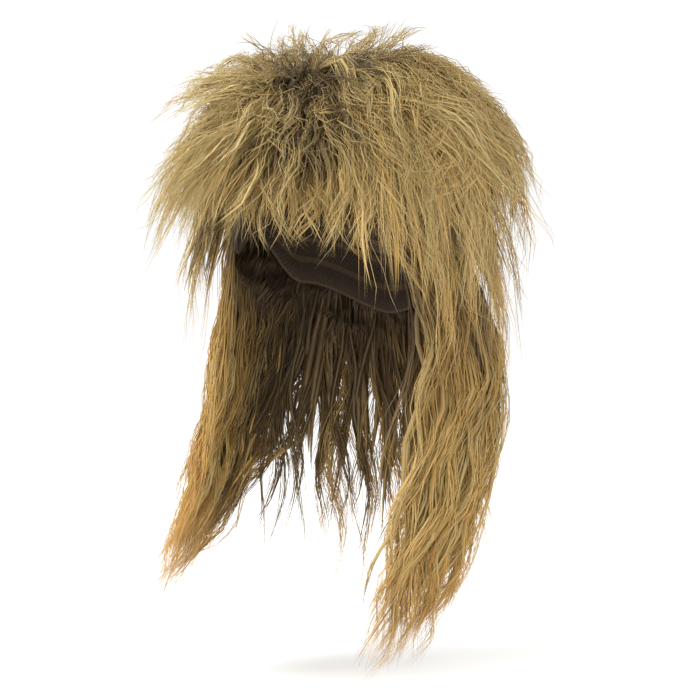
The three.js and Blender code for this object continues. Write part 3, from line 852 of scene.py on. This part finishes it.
class Finish:
    """A material and the nodes that are laid in it."""

    def __init__(self, name):
        self.material = bpy.data.materials.new(name)
        self.material.use_nodes = True
        self.tree = self.material.node_tree
        self.shader = self.tree.nodes["Principled BSDF"]

    def node(self, kind, settings, sockets, out=0):
        """Adds a node, its settings first, then its sockets' values or wires. Gives one output's wire."""
        made = self.tree.nodes.new(kind)
        for name, value in settings.items():
            if name == "stops":
                self.lay_stops(made.color_ramp, value)
            else:
                setattr(made, name, value)
        self.plug(made, sockets)
        return Wire(self, made.outputs[out])

    def lay_stops(self, ramp, stops):
        """A ramp's places and colours."""
        while len(ramp.elements) < len(stops):
            ramp.elements.new(0.5)
        for element, (place, colour) in zip(ramp.elements, stops):
            element.position = place
            element.color = colour

    def plug(self, node, sockets):
        """Sets a node's sockets to values, or links them to wires."""
        for key, value in sockets.items():
            if isinstance(value, Wire):
                self.tree.links.new(value.socket, node.inputs[key])
            else:
                node.inputs[key].default_value = value

    def mix(self, share, first, second):
        """One colour into another by a share."""
        return self.node("ShaderNodeMix", {"data_type": "RGBA"}, {0: share, 6: first, 7: second}, out=2)

    def map_spot(self):
        """The two numbers that a mesh's own map gives each spot."""
        spot = self.node("ShaderNodeUVMap", {"uv_map": FIBRE_MAP}, {})
        return tuple(self.node("ShaderNodeSeparateXYZ", {}, {0: spot}, out=axis) for axis in (0, 1))

    def noise(self, x, y, detail):
        """Soft noise over two numbers, from 0 to 1."""
        place = self.node("ShaderNodeCombineXYZ", {}, {0: x, 1: y})
        sockets = {"Vector": place, "Scale": 1.0, "Detail": detail}
        return self.node("ShaderNodeTexNoise", {"noise_dimensions": "2D"}, sockets)


# The hair's colours from root to tip, for the ashest and the most golden strands, and its two streaks
ASH_TONES = (
    (0.0, dye(58, 44, 24)), (0.2, dye(90, 71, 40)), (0.38, dye(164, 140, 86)),
    (0.65, dye(198, 174, 113)), (1.0, dye(209, 187, 131)),
)
GOLD_TONES = (
    (0.0, dye(56, 40, 22)), (0.2, dye(88, 66, 36)), (0.38, dye(168, 132, 69)),
    (0.65, dye(201, 161, 86)), (1.0, dye(220, 165, 86)),
)
PALE_STREAK = dye(226, 208, 160)
BROWN_STREAK = dye(76, 56, 30)

# How often streaks and clouds of colour change across the shades and along the tones
STREAK_PITCH = (110, 2.5)
CLOUD_PITCH = (34, 1.5)
CLOUD_SHIFT = 7.0

# Where on the shades gold sets in, where on the streaks' noise pale and brown ones do, and how steeply.
# Then the hair's roughness, and how much streaks add to it
GOLD_STEEP = 3.2
GOLD_START = 1.2
PALE_FROM = 0.56
PALE_STEEP = 2.2
PALE_AT_ROOT = 0.2
BROWN_BELOW = 0.44
BROWN_STEEP = 3.0
HAIR_ROUGH = 0.36
STREAK_ROUGH = 0.24

# The net: its threads across and down the cap, its sewn rows down it, and how narrow those are
NET_ACROSS = 1400
NET_DOWN = 900
NET_ROWS = 170
NET_ROW_EDGE = 0.75
NET_GAP = dye(30, 22, 15)
NET_THREAD = dye(66, 51, 37)
NET_ROW = dye(84, 65, 45)


def hair_finish():
    """Blond heat-set fibre: brown roots, a run of shades from ash to gold across the map, tones along it."""
    hair = Finish("hair fibre")
    shade, tone = hair.map_spot()
    streak = hair.noise(shade * STREAK_PITCH[0], tone * STREAK_PITCH[1], 1.0)
    cloud = hair.noise(shade * CLOUD_PITCH[0], tone * CLOUD_PITCH[1] + CLOUD_SHIFT, 0.0)
    ash = hair.node("ShaderNodeValToRGB", {"stops": ASH_TONES}, {0: tone})
    gold = hair.node("ShaderNodeValToRGB", {"stops": GOLD_TONES}, {0: tone})
    body = hair.mix(shade * GOLD_STEEP - GOLD_START + (cloud - 0.5), ash, gold)
    lit = hair.mix((streak - PALE_FROM) * PALE_STEEP * (tone + PALE_AT_ROOT), body, PALE_STREAK)
    brown = hair.mix((BROWN_BELOW - streak) * BROWN_STEEP, lit, BROWN_STREAK)
    gloss = {"Roughness": HAIR_ROUGH + streak * STREAK_ROUGH, "Specular IOR Level": 0.42}
    hair.plug(hair.shader, {"Base Color": brown, **gloss})
    return hair.material


def net_finish():
    """The cap's dark stretch net: a fine crossed weave with sewn rows round it."""
    net = Finish("cap net")
    turn, down = net.map_spot()
    ways = (turn * NET_ACROSS + down * NET_DOWN, turn * NET_ACROSS - down * NET_DOWN)
    threads = [net.node("ShaderNodeMath", {"operation": "SINE"}, {0: way}) for way in ways]
    weave = net.node("ShaderNodeMath", {"operation": "MAXIMUM"}, {0: threads[0], 1: threads[1]})
    rows = net.node("ShaderNodeMath", {"operation": "SINE"}, {0: down * NET_ROWS})
    tracks = net.node("ShaderNodeMath", {"operation": "GREATER_THAN"}, {0: rows, 1: NET_ROW_EDGE})
    woven = net.mix(weave * 0.5 + 0.5, NET_GAP, NET_THREAD)
    height = weave + tracks * 2.0
    raised = net.node("ShaderNodeBump", {}, {"Strength": 0.35, "Distance": 0.0006, "Height": height})
    colour = net.mix(tracks, woven, NET_ROW)
    net.plug(net.shader, {"Base Color": colour, "Roughness": 0.92 - weave * 0.08, "Normal": raised})
    return net.material


def floor_finish():
    """A matt pale floor with a faint mottle."""
    floor = Finish("studio floor")
    place = floor.node("ShaderNodeTexCoord", {}, {}, out=3)
    mottle = floor.node("ShaderNodeTexNoise", {}, {"Vector": place, "Scale": 3.0})
    colour = floor.mix(mottle, dye(252, 252, 251), dye(254, 254, 253))
    floor.plug(floor.shader, {"Base Color": colour, "Roughness": 0.9})
    return floor.material


# The pieces, dressed and set on the frame
def wear(piece, node, material):
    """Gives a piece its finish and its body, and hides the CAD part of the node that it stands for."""
    piece.data.materials.append(material)
    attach(piece, "root")
    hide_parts(node)


def dress():
    """All the wig's pieces."""
    hair = hair_finish()
    wear(lay_cap("cap"), "wig_cap", net_finish())
    wear(lay_cushion("crown_cushion", np.random.default_rng(CUSHION_SEED)), "crown", hair)
    for number, (name, (node, rows)) in enumerate(PIECES.items()):
        rng = np.random.default_rng(PIECE_SEED + number)
        fibres = Fibres()
        for row in rows:
            lay_wisps(fibres, row, rng)
        if name == FLYAWAY_PIECE:
            lay_flyaways(fibres, FLYAWAYS, rng)
        wear(fibres.mesh(name), node, hair)


# The studio, in metres: the camera's turn, rise and distance, its aim, and the floor
CAMERA_TURN = 29.0
CAMERA_RISE = 2.5
CAMERA_FAR = 1.6
CAMERA_ASIDE = 0.009
CAMERA_HEIGHT = -0.184
LENS = 101.2
SENSOR = 36
FLOOR_Z = -0.452
FLOOR_HALF = 12.0
SKY_STRENGTH = 1.05
LAMPS = (
    # name, turn, rise, distance, breadth, watts
    ("key", -48, 44, 2.2, 1.6, 44),
    ("fill", 75, 18, 2.4, 1.8, 6),
)


def towards(turn, rise):
    """The direction of a turn about the head, seen from its middle, and a rise above the level."""
    turn, rise = math.radians(turn), math.radians(rise)
    return np.array([math.sin(turn) * math.cos(rise), -math.cos(turn) * math.cos(rise), math.sin(rise)])


def aim(thing, place, target):
    """Sets a camera or lamp at a place, looking at a target."""
    thing.location = place
    thing.rotation_euler = (Vector(target) - Vector(place)).to_track_quat("-Z", "Y").to_euler()


def lay_floor():
    """A broad pale floor, which isn't part of the wig."""
    across = np.array([(-1, -1), (1, -1), (1, 1), (-1, 1)])
    corners = np.column_stack([across * FLOOR_HALF, np.full(4, FLOOR_Z)]) / MM
    floor = mesh_piece("studio_floor", corners, np.arange(4), np.array([4]), (across + 1) / 2)
    floor.data.materials.append(floor_finish())


def studio():
    """Floor, lights and camera."""
    scene = bpy.context.scene
    lay_floor()
    world = bpy.data.worlds.new("studio")
    world.use_nodes = True
    sky = world.node_tree.nodes["Background"]
    sky.inputs["Color"].default_value = (1.0, 1.0, 1.0, 1.0)
    sky.inputs["Strength"].default_value = SKY_STRENGTH
    scene.world = world
    middle = (0, 0, CAMERA_HEIGHT)
    for name, turn, rise, far, size, watts in LAMPS:
        data = bpy.data.lights.new(name, "AREA")
        data.shape = "DISK"
        data.size = size
        data.energy = watts
        lamp = bpy.data.objects.new(name, data)
        scene.collection.objects.link(lamp)
        aim(lamp, towards(turn, rise) * far + middle, middle)
    data = bpy.data.cameras.new("camera")
    data.lens = LENS
    data.sensor_width = SENSOR
    camera = bpy.data.objects.new("camera", data)
    scene.collection.objects.link(camera)
    target = towards(CAMERA_TURN + 90, 0) * CAMERA_ASIDE + middle
    aim(camera, towards(CAMERA_TURN, CAMERA_RISE) * CAMERA_FAR + target, target)
    scene.camera = camera
    scene.view_settings.view_transform = "Standard"


dress()
studio()
